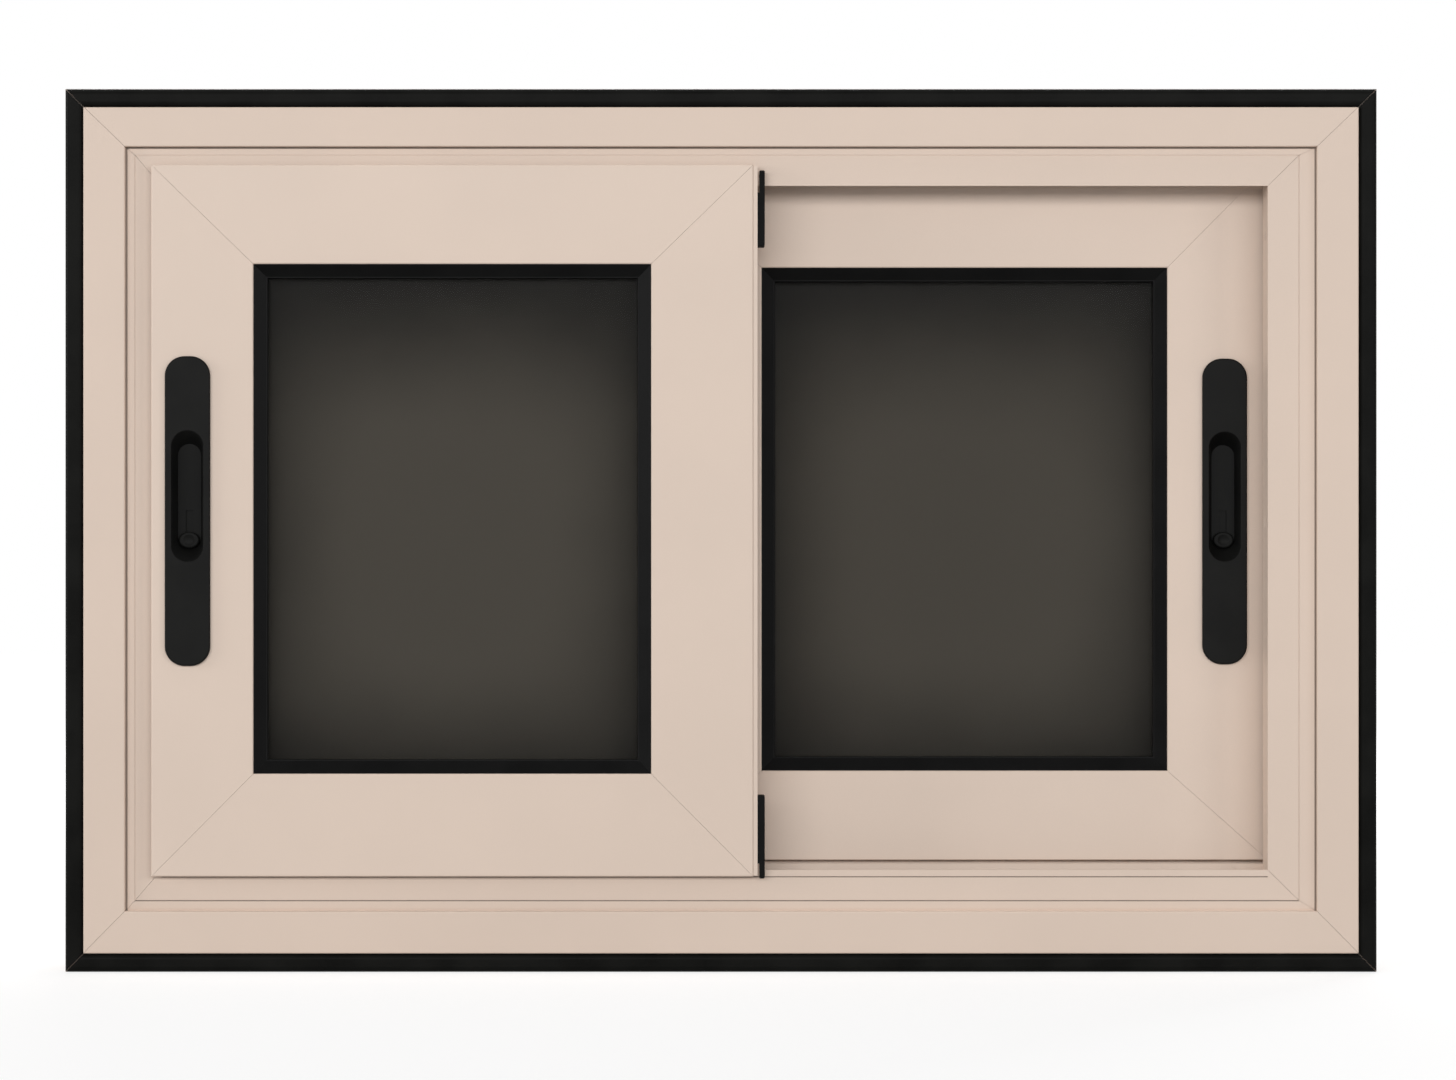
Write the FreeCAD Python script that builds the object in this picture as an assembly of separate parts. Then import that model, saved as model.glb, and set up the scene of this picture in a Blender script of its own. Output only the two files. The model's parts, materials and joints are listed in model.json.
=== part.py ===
import FreeCAD, Part
import os
from FreeCAD import Vector

# Horizontal sliding window with two sashes, in millimetres.
# X runs along the window, Z is up and the room is towards -Y. The origin is the middle of the
# sill's underside. A depth is counted back from the front of the frame's face.

# Outer frame
WIDTH = 900.0
HEIGHT = 606.0
DEPTH = 80.0
WALL = 2.0
STEP = {"left": 41.5, "right": 41.5, "head": 40.0, "sill": 42.0}
SCORE = {"left": 48.2, "right": 53.7, "head": 45.9, "sill": 49.3}
LIP = {"left": 66.0, "right": 74.8, "head": 66.6, "sill": 70.0}
CHANNEL = {"left": 57.0, "right": 65.5, "head": 40.0, "sill": 50.0}
FIN = {"left": 66.0, "right": 74.8, "head": 66.6, "sill": 72.3}
BACK_LIP = {"left": 74.8, "right": 74.8, "head": 66.6, "sill": 70.0}
LIP_DEPTH = 4.5
FIN_DEPTH = 33.5
SCORE_WIDTH = 0.5
SCORE_DEPTH = 0.5
STEP_GROOVE_WIDTH = 1.3
STEP_GROOVE_DEPTH = 1.2
SILL_GROOVE_DEPTH = 0.6
SILL_SCORE_WIDTH = 0.8
SILL_SCORE_DEPTH = 1.2
SILL_SCORE_Z = 65.7
EDGE_ROUND = 0.9
MITRE_GAP = 0.12

# Black trims round the frame's edge
TRIM_WIDTH = 12.7
TRIM_FRONT = 0.8
TRIM_SEAT = 6.0
TRIM_SETBACK = 0.3
TRIM_GAP = 0.55
TRIM_ROUND = 3.8

# Tracks on the sill
RAIL_WIDTH = 3.0
RAIL_TOP_Z = 68.0
RAIL_ROUND = 1.3
RAIL_END_GAP = 2.0

# Clearances
RUN_CLEAR = 5.0
LIFT_CLEAR = 10.0
ROLLER_CLEAR = 0.3

# Sashes
SASH_DEPTH = 32.0
FRONT_SASH_FACE = -3.5
FRONT_SASH_EDGE_X = 22.2
MEETING_OVERLAP = 64.1
STILE_WIDTH = 70.0
TOP_RAIL_HEIGHT = 68.0
BOTTOM_RAIL_HEIGHT = 70.5
FLANGE_THICKNESS = 3.0
FLANGE_LAP_SIDE = 6.1
FLANGE_LAP_HEAD = 13.9
FLANGE_LAP_SILL = 4.1
SASH_ROUND = 1.1
SASH_MITRE_GAP = 0.1
LEG_BOTTOM_Z = 62.0
LEG_GROOVE_WIDTH = 13.0
LEG_GROOVE_TOP_Z = 86.0
REAR_SASH_BOTTOM_Z = 74.2

# Glass unit and beads
BEAD_WIDTH = 8.7
BEAD_FACE_IN = 1.0
BEAD_THIN_EDGE = 2.5
GLASS_IN = 9.0
PANE_THICKNESS = 4.0
PANE_GAP = 6.0
PANE_EDGE_GAP = 3.0
SPACER_WIDTH = 5.0

# Rollers
WHEEL_RADIUS = 8.5
WHEEL_GROOVE_RADIUS = 7.0
WHEEL_WIDTH = 8.0
WHEEL_GROOVE_WIDTH = 4.2
AXLE_RADIUS = 2.0
CARRIAGE_LENGTH = 44.0
CARRIAGE_WIDTH = 12.4
CARRIAGE_CHEEK = 1.4
CARRIAGE_TOP = 1.6
CARRIAGE_BOTTOM_Z = 70.0
CARRIAGE_FROM_SASH_END = 110.0

# Flush pulls
HANDLE_WIDTH = 31.0
HANDLE_HEIGHT = 212.0
HANDLE_PROUD = 3.0
HANDLE_CORNER = 13.5
HANDLE_ROUND = 1.2
HANDLE_ABOVE_MIDDLE = 13.2
FRONT_HANDLE_IN = 25.1
REAR_HANDLE_IN = 30.3
CUP_MOUTH_WIDTH = 22.0
CUP_MOUTH_HEIGHT = 90.0
CUP_FLOOR_WIDTH = 15.8
CUP_FLOOR_HEIGHT = 72.0
CUP_DEPTH = 14.0
CUP_WALL = 1.2
CUP_ABOVE_CENTRE = 10.2
CUP_FIT = 0.3
MOUTH_ROUND = 0.6
BUTTON_WIDTH = 14.6
BUTTON_HEIGHT = 11.5
BUTTON_PROUD = 3.4
BUTTON_ROUND = 1.5
BUTTON_DISH_RADIUS = 10.0
BUTTON_DISH_DEPTH = 0.8
BUTTON_LIFT = 0.3
BUTTON_TRAVEL = 18.0
BUTTON_ABOVE_FLOOR_END = 5.9
STEM_SIZE = 4.0
STEM_LENGTH = 5.0
STEM_FIT = 0.5
SHUTTER_WIDTH = 8.0
SHUTTER_HALF_HEIGHT = 22.0
SHUTTER_THICKNESS = 1.0
SHUTTER_GAP = 0.3

# Strip, pads and seal at the meeting stiles
STRIP_WIDTH = 2.8
STRIP_SETBACK = 0.5
STRIP_END_GAP = 0.8
BUFFER_WIDTH = 5.0
BUFFER_DEPTH = 20.0
BUFFER_NOSE = 2.5
UPPER_BUFFER_DROP = 3.8
UPPER_BUFFER_HEIGHT = 51.7
LOWER_BUFFER_DROP = 1.3
LOWER_BUFFER_HEIGHT = 56.4
BUFFER_NOSE_NARROWER = 1.2
BUFFER_ROUND = 1.0
SEAL_WIDTH = 8.0
SEAL_FROM_EDGE = 4.0

# Fixing holes in the jambs
FIXING_RADIUS = 4.0
ACCESS_RADIUS = 9.0
FIXING_SPACING = 300.0

# Where the liners stand in the jambs, and how high the pulls sit
FRONT_LINER_X = WIDTH / 2 - LIP["right"]
REAR_LINER_X = -WIDTH / 2 + BACK_LIP["left"]
HANDLE_CENTRE_Z = HEIGHT / 2 + HANDLE_ABOVE_MIDDLE

# A near-zero length, how far a mitre line runs past its corner, and how far a cutter or a fused
# piece reaches past the face that it meets
TOUCH = 1e-4
REACH = 20.0
PAST = 1.0


def block(x0, x1, d0, d1, z0, z1):
    return Part.makeBox(x1 - x0, d1 - d0, z1 - z0, Vector(x0, d0 - DEPTH / 2, z0))


def frame_rect(inset):
    """The rectangle that stands in from the frame's outer edge by each side's inset."""
    if not isinstance(inset, dict):
        inset = dict.fromkeys(STEP, inset)
    return (-WIDTH / 2 + inset["left"], WIDTH / 2 - inset["right"], inset["sill"], HEIGHT - inset["head"])


def grow(rect, by):
    x0, x1, z0, z1 = rect
    return (x0 - by, x1 + by, z0 - by, z1 + by)


def slab(rect, d0, d1):
    x0, x1, z0, z1 = rect
    return block(x0, x1, d0, d1, z0, z1)


def ring(outer, inner, d0, d1):
    return slab(outer, d0, d1).cut(slab(inner, d0 - PAST, d1 + PAST))


def fused(shapes):
    return shapes[0].fuse(shapes[1:]).removeSplitter()


def rounded_front(shape, depth, radius):
    """Round every edge of a plate's front face."""
    front = depth - DEPTH / 2
    edges = [edge for edge in shape.Edges if all(abs(v.Y - front) < TOUCH for v in edge.Vertexes)]
    return shape.makeFillet(radius, edges)


def cylinder_y(x, z, d0, d1, radius):
    return Part.makeCylinder(radius, d1 - d0, Vector(x, d0 - DEPTH / 2, z), Vector(0, 1, 0))


def cylinder_x(x0, x1, depth, z, radius):
    return Part.makeCylinder(radius, x1 - x0, Vector(x0, depth - DEPTH / 2, z), Vector(1, 0, 0))


def prism(points, d0, d1):
    """A solid between two depths over an outline of (x, z) points."""
    corners = [Vector(x, d0 - DEPTH / 2, z) for x, z in points]
    return Part.Face(Part.makePolygon(corners + corners[:1])).extrude(Vector(0, d1 - d0, 0))


def corners_of(rect):
    x0, x1, z0, z1 = rect
    return {
        "head left": (x0, z1),
        "head right": (x1, z1),
        "sill right": (x1, z0),
        "sill left": (x0, z0),
    }


def mitred(shape, rects, gap):
    """Cut a frame into its four bars along lines through the corners of rects, outermost first."""
    levels = [corners_of(rect) for rect in rects]
    x0, x1, z0, z1 = rects[-1]
    middle = ((x0 + x1) / 2, (z0 + z1) / 2)

    def line(corner):
        first, second = levels[0][corner], levels[1][corner]
        away = tuple(a + (a - b) * REACH / abs(a - b) for a, b in zip(first, second))
        return [away] + [level[corner] for level in levels]

    bars = {}
    sides = {
        "head": ("head left", "head right", (0, 1)),
        "right": ("head right", "sill right", (1, 0)),
        "sill": ("sill right", "sill left", (0, -1)),
        "left": ("sill left", "head left", (-1, 0)),
    }
    box = shape.BoundBox
    for side, (start, end, (sx, sz)) in sides.items():
        points = line(start) + [middle] + line(end)[::-1]
        cutter = prism(points, box.YMin + DEPTH / 2 - PAST, box.YMax + DEPTH / 2 + PAST)
        cutter.translate(Vector(sx * gap, 0, sz * gap))
        bars[side] = shape.common(cutter)
    return bars


def frame_bars():
    """The fixed frame, a hollow extrusion with two channels, cut into its mitred bars.
    The mitres follow the steps of the face in front, and the channel's corner behind the lip."""
    step = frame_rect(STEP)
    lip = frame_rect(LIP)
    channel = frame_rect(CHANNEL)
    rebate = TRIM_WIDTH + TRIM_SETBACK
    face = rounded_front(ring(frame_rect(rebate), step, 0, WALL), 0, EDGE_ROUND)
    lip_plate = ring(grow(step, WALL), lip, LIP_DEPTH, LIP_DEPTH + WALL)
    frame = fused([
        face,
        ring(frame_rect(rebate), frame_rect(rebate + WALL), WALL / 2, TRIM_SEAT + WALL),
        ring(frame_rect(0), frame_rect(rebate + WALL), TRIM_SEAT, TRIM_SEAT + WALL),
        ring(frame_rect(0), frame_rect(WALL), TRIM_SEAT, DEPTH),
        ring(grow(step, WALL), step, WALL / 2, LIP_DEPTH + WALL),
        lip_plate,
        ring(grow(channel, WALL), channel, LIP_DEPTH, DEPTH),
        ring(grow(channel, WALL), frame_rect(FIN), FIN_DEPTH, FIN_DEPTH + WALL),
        ring(frame_rect(0), frame_rect(BACK_LIP), DEPTH - WALL, DEPTH),
    ])
    score = frame_rect(SCORE)
    frame = frame.cut(face_grooves(step, score, lip) + fixing_holes())
    whole = grow(frame_rect(0), PAST)
    split = LIP_DEPTH + WALL
    front = frame.common(slab(whole, -PAST, split))
    behind = frame.common(slab(whole, split, DEPTH + PAST))
    front_bars = mitred(front, [frame_rect(0), step, score, lip], MITRE_GAP)
    rear_bars = mitred(behind, [frame_rect(0), channel], MITRE_GAP)
    return {side: fused([bar, rear_bars[side]]) for side, bar in front_bars.items()}


def face_grooves(step, score, lip):
    """The fine lines of the frame's face, deepest at the foot of the step beside the head and jambs."""
    front = LIP_DEPTH - PAST
    x0, x1, z0, z1 = step
    sides_only = (x0 + STEP_GROOVE_WIDTH, x1 - STEP_GROOVE_WIDTH, z0, z1 - STEP_GROOVE_WIDTH)
    sill_lines = [(score, score[2]), (lip, SILL_SCORE_Z)]
    return [
        ring(grow(score, SCORE_WIDTH), score, front, LIP_DEPTH + SCORE_DEPTH),
        ring(step, sides_only, front, LIP_DEPTH + STEP_GROOVE_DEPTH),
        block(x0, x1, front, LIP_DEPTH + SILL_GROOVE_DEPTH, z0, z0 + STEP_GROOVE_WIDTH),
    ] + [
        block(rect[0], rect[1], front, LIP_DEPTH + SILL_SCORE_DEPTH, top - SILL_SCORE_WIDTH, top)
        for rect, top in sill_lines
    ]


def head_parts(bar):
    """The head as its tube and the three lips that hang from it between the channels."""
    box = bar.BoundBox
    channel_top = frame_rect(CHANNEL)[3]
    hanging = Part.makeBox(
        box.XLength, box.YLength, channel_top - box.ZMin, Vector(box.XMin, box.YMin, box.ZMin)
    )
    lips = sorted(bar.common(hanging).Solids, key=lambda lip: lip.BoundBox.YMin)
    names = ("head_front_lip", "head_centre_fin", "head_rear_lip")
    return {"frame_head": bar.cut(hanging), **dict(zip(names, lips))}


def track_depth(sash_face):
    return sash_face + SASH_DEPTH - WALL - LEG_GROOVE_WIDTH / 2


def fixing_holes():
    """Screw holes through each jamb's outer wall, with wider holes in its channel wall to reach them."""
    left_depth = track_depth(FRONT_SASH_FACE)
    right_depth = rear_track_depth()
    half = WIDTH / 2
    left_wall = -half + CHANNEL["left"]
    right_wall = half - CHANNEL["right"]
    holes = []
    for z in (HEIGHT / 2 - FIXING_SPACING / 2, HEIGHT / 2 + FIXING_SPACING / 2):
        holes.append(cylinder_x(-half - PAST, -half + WALL + PAST, left_depth, z, FIXING_RADIUS))
        holes.append(cylinder_x(left_wall - WALL - PAST, left_wall + PAST, left_depth, z, ACCESS_RADIUS))
        holes.append(cylinder_x(half - WALL - PAST, half + PAST, right_depth, z, FIXING_RADIUS))
        holes.append(cylinder_x(right_wall - PAST, right_wall + WALL + PAST, right_depth, z, ACCESS_RADIUS))
    return holes


def rear_sash_face():
    return FIN_DEPTH + WALL + RUN_CLEAR


def rear_track_depth():
    return rear_sash_face() + SASH_DEPTH / 2


def edge_trims():
    """Rounded trims in the rebate round the frame, mitred at the corners."""
    trim = ring(frame_rect(TRIM_SETBACK), frame_rect(TRIM_WIDTH), TRIM_FRONT, TRIM_SEAT)
    trim = rounded_front(trim, TRIM_FRONT, TRIM_ROUND)
    return mitred(trim, [frame_rect(TRIM_SETBACK), frame_rect(TRIM_WIDTH)], TRIM_GAP)


def track_rail(x0, x1, depth):
    rail = block(x0, x1, depth - RAIL_WIDTH / 2, depth + RAIL_WIDTH / 2, CHANNEL["sill"], RAIL_TOP_Z)
    top = [
        edge for edge in rail.Edges
        if all(abs(v.Z - RAIL_TOP_Z) < TOUCH for v in edge.Vertexes) and edge.BoundBox.XLength > TOUCH
    ]
    return rail.makeFillet(RAIL_ROUND, top)


def jamb_cover(face_x, wall_x, d0, d1):
    """A liner of hat section on the wall of a jamb's channel."""
    channel = frame_rect(CHANNEL)
    towards_wall = 1 if wall_x > face_x else -1
    inside = face_x + towards_wall * WALL
    z0, z1 = channel[2], channel[3]
    plate = block(min(face_x, inside), max(face_x, inside), d0, d1, z0, z1)
    low, high = min(face_x, wall_x), max(face_x, wall_x)
    front_leg = block(low, high, d0, d0 + WALL, z0, z1)
    back_leg = block(low, high, d1 - WALL, d1, z0, z1)
    return fused([plate, front_leg, back_leg])


def front_sash_rects():
    lip = frame_rect(LIP)
    channel = frame_rect(CHANNEL)
    web = (lip[0] + RUN_CLEAR, FRONT_SASH_EDGE_X, lip[2] + RUN_CLEAR, lip[3] - RUN_CLEAR)
    flange = (
        lip[0] - FLANGE_LAP_SIDE,
        FRONT_SASH_EDGE_X,
        lip[2] - FLANGE_LAP_SILL,
        lip[3] + FLANGE_LAP_HEAD,
    )
    core = (channel[0] + RUN_CLEAR, FRONT_SASH_EDGE_X, LEG_BOTTOM_Z, channel[3] - LIFT_CLEAR)
    opening = (
        flange[0] + STILE_WIDTH,
        flange[1] - STILE_WIDTH,
        flange[2] + BOTTOM_RAIL_HEIGHT,
        flange[3] - TOP_RAIL_HEIGHT,
    )
    return web, flange, core, opening


def rear_sash_rects():
    channel = frame_rect(CHANNEL)
    outer = (
        FRONT_SASH_EDGE_X - MEETING_OVERLAP,
        channel[1] - RUN_CLEAR,
        REAR_SASH_BOTTOM_Z,
        channel[3] - LIFT_CLEAR,
    )
    front_opening = front_sash_rects()[3]
    opening = (outer[0] + STILE_WIDTH, outer[1] - STILE_WIDTH, front_opening[2], front_opening[3])
    return outer, opening


def front_sash_bars():
    """The front sash: a flange laps over the frame's lip, and its core runs in the channel behind."""
    web, flange, core, opening = front_sash_rects()
    face = FRONT_SASH_FACE
    back = face + SASH_DEPTH
    core_front = LIP_DEPTH + WALL + RUN_CLEAR
    behind_round = face + FLANGE_THICKNESS / 2
    above_groove = core[:2] + (LEG_GROOVE_TOP_Z,) + core[3:]
    track = track_depth(face)
    sash = fused([
        rounded_front(ring(flange, opening, face, face + FLANGE_THICKNESS), face, SASH_ROUND),
        ring(web, grow(web, -WALL), behind_round, back),
        ring(core, grow(web, -WALL), core_front, core_front + WALL),
        ring(above_groove, grow(above_groove, -WALL), core_front, back),
        ring(core, opening, back - WALL, back),
        ring(grow(opening, WALL), opening, behind_round, back),
    ])
    groove = block(
        core[0] - PAST, core[1] + PAST,
        track - LEG_GROOVE_WIDTH / 2, track + LEG_GROOVE_WIDTH / 2,
        LEG_BOTTOM_Z - PAST, LEG_GROOVE_TOP_Z,
    )
    pocket = handle_pocket(flange[0] + FRONT_HANDLE_IN, face)
    return mitred(sash.cut([groove, pocket]), [flange, opening], SASH_MITRE_GAP)


def rear_sash_bars():
    """The rear sash, a plain hollow frame with two legs that straddle its rail."""
    outer, opening = rear_sash_rects()
    face = rear_sash_face()
    back = face + SASH_DEPTH
    behind_round = face + FLANGE_THICKNESS / 2
    track = rear_track_depth()
    half_groove = LEG_GROOVE_WIDTH / 2
    x0, x1, _, _ = outer
    sash = fused([
        rounded_front(ring(outer, opening, face, face + FLANGE_THICKNESS), face, SASH_ROUND),
        ring(outer, grow(outer, -WALL), behind_round, back),
        ring(outer, opening, back - WALL, back),
        ring(grow(opening, WALL), opening, behind_round, back),
        block(
            x0, x1, track - half_groove - WALL, track + half_groove + WALL,
            LEG_BOTTOM_Z, LEG_GROOVE_TOP_Z + WALL,
        ),
    ])
    groove = block(
        x0 - PAST, x1 + PAST, track - half_groove, track + half_groove,
        LEG_BOTTOM_Z - PAST, LEG_GROOVE_TOP_Z,
    )
    pocket = handle_pocket(outer[1] - REAR_HANDLE_IN, face)
    return mitred(sash.cut([groove, pocket]), [outer, opening], SASH_MITRE_GAP)


def glazing(opening, face):
    """Two panes on a spacer, held between a bead on the room side and one on the outer side."""
    glass_front = face + GLASS_IN
    glass_back = glass_front + 2 * PANE_THICKNESS + PANE_GAP
    pane = grow(opening, -PANE_EDGE_GAP)
    inner_gap = glass_front + PANE_THICKNESS
    return {
        "room_bead": bead(opening, face + BEAD_FACE_IN, glass_front),
        "room_pane": slab(pane, glass_front, inner_gap),
        "glass_spacer": ring(pane, grow(pane, -SPACER_WIDTH), inner_gap, inner_gap + PANE_GAP),
        "outer_pane": slab(pane, inner_gap + PANE_GAP, glass_back),
        "outer_bead": bead(opening, face + SASH_DEPTH - BEAD_FACE_IN, glass_back),
    }


def bead(opening, face, glass):
    """A ring that slopes from the sash's face to the glass, thin at its inner edge."""
    inner = grow(opening, -BEAD_WIDTH)
    towards_face = 1 if face > glass else -1
    thin = glass + towards_face * BEAD_THIN_EDGE
    whole = slab(opening, min(face, glass), max(face, glass))
    rim = [outline(opening, face + towards_face * TOUCH), outline(inner, thin)]
    hollow = Part.makeLoft(rim, True, True)
    mouth = slab(inner, min(face, glass) - PAST, max(face, glass) + PAST)
    return whole.cut([hollow, mouth])


def outline(rect, depth):
    x0, x1, z0, z1 = rect
    y = depth - DEPTH / 2
    points = [Vector(x0, y, z0), Vector(x1, y, z0), Vector(x1, y, z1), Vector(x0, y, z1), Vector(x0, y, z0)]
    return Part.makePolygon(points)


def stadium(x, z, width, height, depth):
    """An upright slot outline with round ends."""
    y = depth - DEPTH / 2
    r = width / 2
    top, bottom = z + height / 2 - r, z - height / 2 + r
    right_line = Part.LineSegment(Vector(x + r, y, bottom), Vector(x + r, y, top))
    top_arc = Part.Arc(Vector(x + r, y, top), Vector(x, y, top + r), Vector(x - r, y, top))
    left_line = Part.LineSegment(Vector(x - r, y, top), Vector(x - r, y, bottom))
    bottom_arc = Part.Arc(Vector(x - r, y, bottom), Vector(x, y, bottom - r), Vector(x + r, y, bottom))
    return Part.Wire([curve.toShape() for curve in (right_line, top_arc, left_line, bottom_arc)])


def cup_taper(x, face, extra, d0, d1):
    """The tapered recess of a pull, or with extra width its outer shape, between two depths."""
    z = HANDLE_CENTRE_Z + CUP_ABOVE_CENTRE
    plate_front = face - HANDLE_PROUD

    def section(depth):
        share = (depth - plate_front) / CUP_DEPTH
        width = CUP_MOUTH_WIDTH + (CUP_FLOOR_WIDTH - CUP_MOUTH_WIDTH) * share
        height = CUP_MOUTH_HEIGHT + (CUP_FLOOR_HEIGHT - CUP_MOUTH_HEIGHT) * share
        return stadium(x, z, width + 2 * extra, height + 2 * extra, depth)

    return Part.makeLoft([section(d0), section(d1)], True, True)


def cup_floor(face):
    return face - HANDLE_PROUD + CUP_DEPTH


def handle_pocket(x, face):
    return cup_taper(x, face, CUP_WALL + CUP_FIT, face - TOUCH, cup_floor(face) + CUP_WALL + CUP_FIT)


def button_z():
    cup_z = HANDLE_CENTRE_Z + CUP_ABOVE_CENTRE
    return cup_z - CUP_FLOOR_HEIGHT / 2 + BUTTON_ABOVE_FLOOR_END


def handle(x, face):
    """A flush pull: a rounded plate with a tapered cup behind it and a slot for the button's stem."""
    plate_front = face - HANDLE_PROUD
    half_width, half_height = HANDLE_WIDTH / 2, HANDLE_HEIGHT / 2
    plate = block(
        x - half_width, x + half_width, plate_front, face,
        HANDLE_CENTRE_Z - half_height, HANDLE_CENTRE_Z + half_height,
    )
    upright = [edge for edge in plate.Edges if edge.BoundBox.YLength > HANDLE_PROUD / 2]
    plate = rounded_front(plate.makeFillet(HANDLE_CORNER, upright), plate_front, HANDLE_ROUND)
    floor = cup_floor(face)
    cup = cup_taper(x, face, CUP_WALL, face - HANDLE_ROUND, floor + CUP_WALL)
    recess = cup_taper(x, face, 0, plate_front - TOUCH, floor)
    half_slot = STEM_SIZE / 2 + STEM_FIT
    slot = block(
        x - half_slot, x + half_slot, floor - PAST, floor + CUP_WALL + PAST,
        button_z() - half_slot, button_z() + BUTTON_TRAVEL + half_slot,
    )
    pull = plate.fuse(cup).cut([recess, slot]).removeSplitter()
    reach_x, reach_z = CUP_MOUTH_WIDTH / 2 + TOUCH, CUP_MOUTH_HEIGHT / 2 + TOUCH
    mouth_z = HANDLE_CENTRE_Z + CUP_ABOVE_CENTRE
    mouth = [
        edge for edge in pull.Edges
        if all(
            abs(v.Y + DEPTH / 2 - plate_front) < TOUCH
            and abs(v.X - x) < reach_x
            and abs(v.Z - mouth_z) < reach_z
            for v in edge.Vertexes
        )
    ]
    return pull.makeFillet(MOUTH_ROUND, mouth)


def latch_button(x, face):
    """A dished oval thumb button on a square stem, with a shutter that closes the slot behind the cup."""
    floor = cup_floor(face)
    base = floor - BUTTON_LIFT
    z = button_z()
    front = base - BUTTON_PROUD
    oval = Part.Ellipse(Vector(0, 0, 0), BUTTON_WIDTH / 2, BUTTON_HEIGHT / 2).toShape()
    pad = Part.Face(Part.Wire([oval])).extrude(Vector(0, 0, BUTTON_PROUD))
    pad.rotate(Vector(0, 0, 0), Vector(1, 0, 0), 90)
    pad.translate(Vector(x, base - DEPTH / 2, z))
    dish_y = front - DEPTH / 2 + BUTTON_DISH_DEPTH - BUTTON_DISH_RADIUS
    dish = Part.makeSphere(BUTTON_DISH_RADIUS, Vector(x, dish_y, z))
    pad = rounded_front(pad, front, BUTTON_ROUND).cut(dish)
    half = STEM_SIZE / 2
    stem = block(x - half, x + half, base - PAST, base + STEM_LENGTH, z - half, z + half)
    shutter_front = floor + CUP_WALL + SHUTTER_GAP
    half_shutter = SHUTTER_WIDTH / 2
    shutter = block(
        x - half_shutter, x + half_shutter, shutter_front, shutter_front + SHUTTER_THICKNESS,
        z - SHUTTER_HALF_HEIGHT, z + SHUTTER_HALF_HEIGHT,
    )
    return pad.fuse([stem, shutter]).removeSplitter()


def roller_carriages(x0, x1, track):
    """Two grooved wheels on axles in U-shaped carriages, seated in the top of the sash's groove."""
    axle_z = RAIL_TOP_Z + ROLLER_CLEAR + WHEEL_GROOVE_RADIUS
    half = CARRIAGE_WIDTH / 2
    half_length = CARRIAGE_LENGTH / 2
    solids = []
    for x in (x0 + CARRIAGE_FROM_SASH_END, x1 - CARRIAGE_FROM_SASH_END):
        shell = block(
            x - half_length, x + half_length, track - half, track + half,
            CARRIAGE_BOTTOM_Z, LEG_GROOVE_TOP_Z,
        )
        inside = block(
            x - half_length - PAST, x + half_length + PAST,
            track - half + CARRIAGE_CHEEK, track + half - CARRIAGE_CHEEK,
            CARRIAGE_BOTTOM_Z - PAST, LEG_GROOVE_TOP_Z - CARRIAGE_TOP,
        )
        wheel = cylinder_y(x, axle_z, track - WHEEL_WIDTH / 2, track + WHEEL_WIDTH / 2, WHEEL_RADIUS)
        half_tread = WHEEL_GROOVE_WIDTH / 2
        tread = cylinder_y(
            x, axle_z, track - half_tread, track + half_tread, WHEEL_RADIUS + PAST
        ).cut(cylinder_y(x, axle_z, track - WHEEL_WIDTH, track + WHEEL_WIDTH, WHEEL_GROOVE_RADIUS))
        axle = cylinder_y(x, axle_z, track - half, track + half, AXLE_RADIUS)
        solids.append(shell.cut(inside).fuse([wheel.cut(tread), axle]).removeSplitter())
    return Part.Compound(solids)


def slot_notch(x0, x1, depth):
    """The room that a piece on the front sash's edge leaves for the frame's lips at head and sill."""
    web = front_sash_rects()[0]
    flange_back = FRONT_SASH_FACE + FLANGE_THICKNESS
    return [
        block(x0 - PAST, x1 + PAST, flange_back, depth + PAST, web[3], HEIGHT),
        block(x0 - PAST, x1 + PAST, flange_back, depth + PAST, 0, web[2]),
    ]


def meeting_strip():
    flange = front_sash_rects()[1]
    x0 = FRONT_SASH_EDGE_X
    back = FRONT_SASH_FACE + SASH_DEPTH
    strip = block(
        x0, x0 + STRIP_WIDTH, FRONT_SASH_FACE + STRIP_SETBACK, back,
        flange[2] + STRIP_END_GAP, flange[3] - STRIP_END_GAP,
    )
    return strip.cut(slot_notch(x0, x0 + STRIP_WIDTH, back))


def buffer(z0, z1):
    """A pad on the meeting strip, with a thin nose where it passes the frame's lip."""
    web = front_sash_rects()[0]
    x0 = FRONT_SASH_EDGE_X + STRIP_WIDTH
    x1 = x0 + BUFFER_WIDTH
    front = FRONT_SASH_FACE + STRIP_SETBACK
    body = block(x0, x1, front, BUFFER_DEPTH, max(z0, web[2]), min(z1, web[3]))
    body = body.makeFillet(BUFFER_ROUND, [e for e in body.Edges if abs(e.BoundBox.XMin - x1) < TOUCH])
    nose = block(x0 + BUFFER_NOSE_NARROWER, x1, front, front + BUFFER_NOSE, z0, z1)
    nose = nose.makeFillet(BUFFER_ROUND, nose.Edges)
    return body.fuse(nose).removeSplitter()


def meeting_seal():
    """A seal on the rear sash that stands towards the front sash and stops short of it."""
    outer = rear_sash_rects()[0]
    lip = frame_rect(FIN)
    x0 = outer[0] + SEAL_FROM_EDGE
    front = FRONT_SASH_FACE + SASH_DEPTH + RUN_CLEAR
    return block(x0, x0 + SEAL_WIDTH, front, rear_sash_face(), lip[2] + RUN_CLEAR, lip[3] - RUN_CLEAR)


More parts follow.
